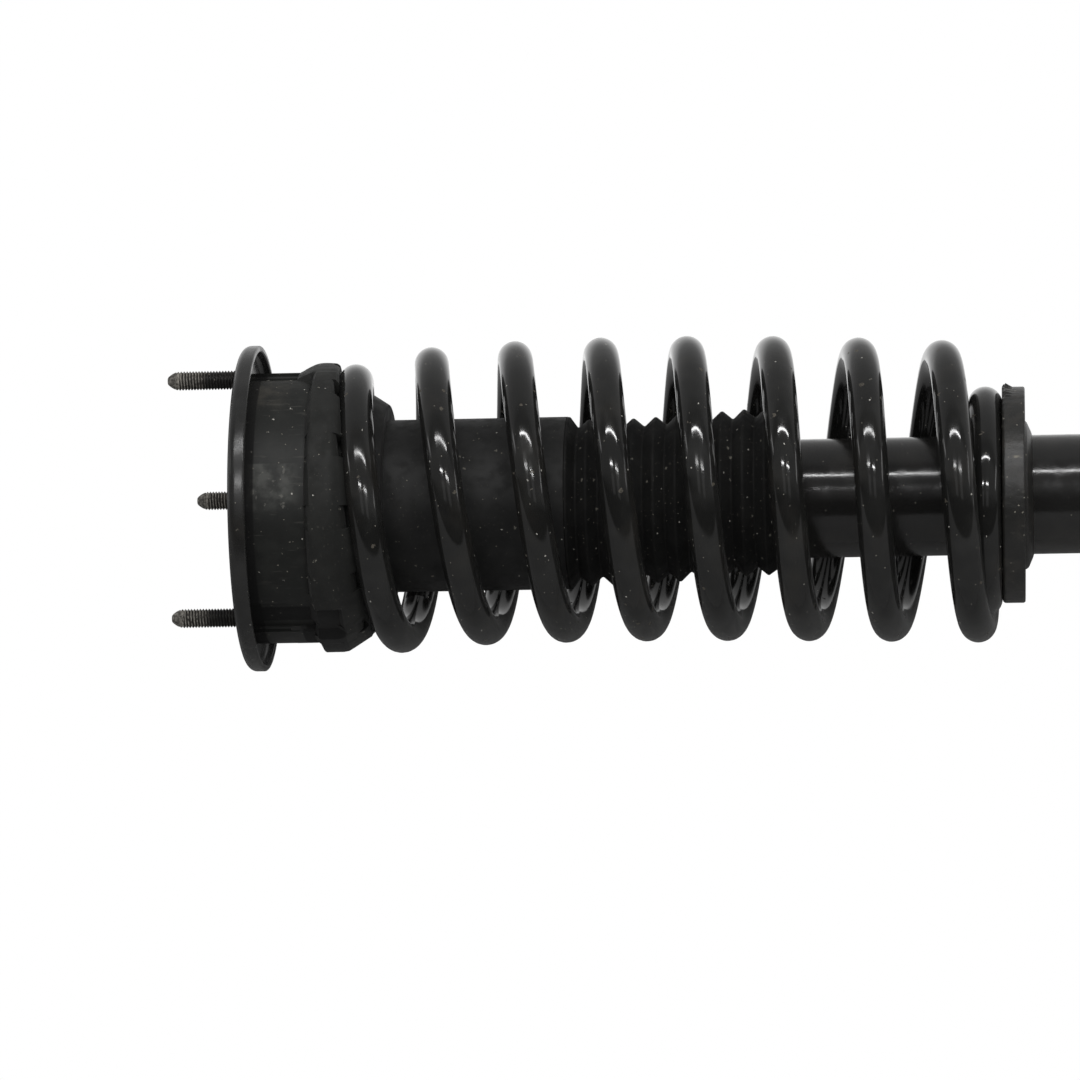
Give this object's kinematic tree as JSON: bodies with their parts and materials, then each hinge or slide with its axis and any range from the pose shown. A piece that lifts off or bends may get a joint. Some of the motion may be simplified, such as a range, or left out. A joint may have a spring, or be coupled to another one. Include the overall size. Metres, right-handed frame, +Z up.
{
  "type": "suspension strut",
  "caption": "Coil-over suspension strut with a studded rubber top mount, bowed coil spring, dust boot, twin-tube damper and lower eye.",
  "frame": {"origin": "centre of the stud circle on the top mount's mounting face; the strut's own axis lies 4.1 mm to the -X side of it", "axes": "+Z up the strut along its axis, out of the mounting face and along the studs; +Y towards the stud that stands alone in the picture's far side; the lower eye's bolt runs along Y"},
  "size_m": [0.1387, 0.138, 0.518],
  "materials": {
    "flange_paint": "gloss black paint",
    "housing_paint": "satin black paint",
    "stud_steel": "dark oiled steel",
    "bare_steel": "machined",
    "fastener_steel": "zinc plated",
    "mount_rubber": "moulded",
    "isolator_rubber": "moulded matte",
    "seal_rubber": "moulded",
    "boot_rubber": "moulded matte",
    "spring_paint": "gloss black coat",
    "stop_foam": "foam",
    "stop_plastic": "moulded",
    "ring_plastic": "moulded",
    "cap_plastic": "moulded",
    "rod_chrome": "ground and chromed",
    "sintered_iron": "sintered",
    "tube_paint": "semi-gloss black paint",
    "seat_paint": "satin black paint"
  },
  "bodies": {
    "top_mount": {"top_flange": "flange_paint", "mount_studs": "stud_steel", "mount_housing": "housing_paint", "mount_core": "bare_steel", "mount_bush": "mount_rubber", "upper_spring_seat": "housing_paint", "spring_isolator": "isolator_rubber", "coil_spring": "spring_paint", "boot_retainer": "boot_rubber", "dust_sleeve": "boot_rubber", "dust_bellows": "boot_rubber", "rod_nut": "fastener_steel", "upper_washer": "fastener_steel", "bump_stop_cup": "fastener_steel", "bump_stop": "stop_foam", "piston_rod": "rod_chrome", "rebound_stop": "stop_plastic", "piston": "sintered_iron", "piston_ring": "ring_plastic", "piston_valve_discs": "bare_steel", "piston_nut": "fastener_steel"},
    "damper_body": {"damper_tube": "tube_paint", "tube_cap": "cap_plastic", "rod_seal": "seal_rubber", "rod_guide": "sintered_iron", "inner_cylinder": "bare_steel", "base_valve": "sintered_iron", "lower_spring_seat": "seat_paint", "seat_gusset": "seat_paint", "tube_base": "tube_paint", "lower_eye": "tube_paint", "eye_bush": "mount_rubber"},
    "pivot_sleeve": {"eye_sleeve": "fastener_steel"}
  },
  "joints": [
    {"name": "damper_slide", "type": "slide", "parent": "top_mount", "child": "damper_body", "axis": [0, 0, 1], "range_m": [0, 0.12], "stiffness_N_per_m": 32000, "springref_m": -0.05, "deforming": ["coil_spring", "dust_bellows", "bump_stop"]},
    {"name": "lower_bush_pivot", "type": "hinge", "parent": "damper_body", "child": "pivot_sleeve", "pos_m": [-0.0041, 0, -0.4692], "axis": [0, 1, 0], "range_deg": [-15, 15], "stiffness_Nm_per_rad": 20}
  ]
}
